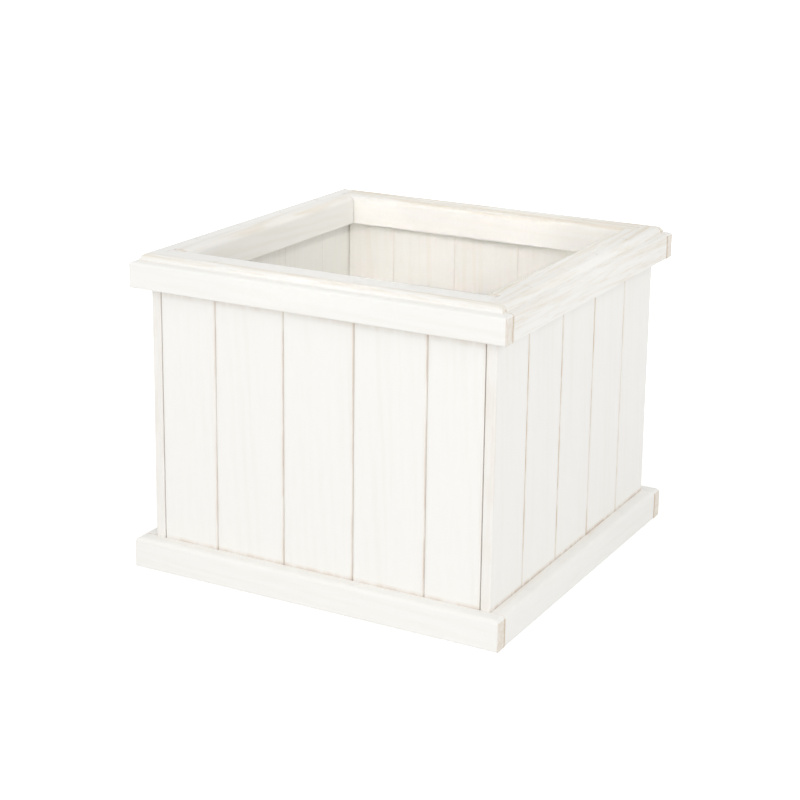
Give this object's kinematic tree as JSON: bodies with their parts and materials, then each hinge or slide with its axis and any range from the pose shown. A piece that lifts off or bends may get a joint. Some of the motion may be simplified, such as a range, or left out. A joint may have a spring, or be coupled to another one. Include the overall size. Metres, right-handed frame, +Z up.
{
  "type": "planter_box",
  "caption": "Square white-washed timber planter box: upright tongue-and-groove boards held between moulded top rails and base rails, over a slatted drain floor.",
  "frame": {"origin": "on the ground, at the centre of the box's footprint", "axes": "+Z up; -Y is the front, one of the two faces whose rails run through to the corners; +X is to the right seen from the front"},
  "size_m": [0.5, 0.5, 0.4],
  "materials": {
    "white_washed_board": "thin white paint over softwood, matt",
    "white_washed_rail": "thin white paint over softwood, worn to warm wood on edges and end grain",
    "white_washed_floor": "one thin coat of white paint over sawn softwood"
  },
  "bodies": {
    "root": {"front_board_1": "white_washed_board", "front_board_2": "white_washed_board", "front_board_3": "white_washed_board", "front_board_4": "white_washed_board", "front_board_5": "white_washed_board", "right_board_1": "white_washed_board", "right_board_2": "white_washed_board", "right_board_3": "white_washed_board", "right_board_4": "white_washed_board", "right_board_5": "white_washed_board", "back_board_1": "white_washed_board", "back_board_2": "white_washed_board", "back_board_3": "white_washed_board", "back_board_4": "white_washed_board", "back_board_5": "white_washed_board", "left_board_1": "white_washed_board", "left_board_2": "white_washed_board", "left_board_3": "white_washed_board", "left_board_4": "white_washed_board", "left_board_5": "white_washed_board", "front_top_rail": "white_washed_rail", "right_top_rail": "white_washed_rail", "back_top_rail": "white_washed_rail", "left_top_rail": "white_washed_rail", "front_inner_rail": "white_washed_rail", "right_inner_rail": "white_washed_rail", "back_inner_rail": "white_washed_rail", "left_inner_rail": "white_washed_rail", "front_base_rail": "white_washed_rail", "right_base_rail": "white_washed_rail", "back_base_rail": "white_washed_rail", "left_base_rail": "white_washed_rail", "front_floor_bearer": "white_washed_floor", "back_floor_bearer": "white_washed_floor", "floor_slat_1": "white_washed_floor", "floor_slat_2": "white_washed_floor", "floor_slat_3": "white_washed_floor", "floor_slat_4": "white_washed_floor", "floor_slat_5": "white_washed_floor"}
  },
  "joints": []
}
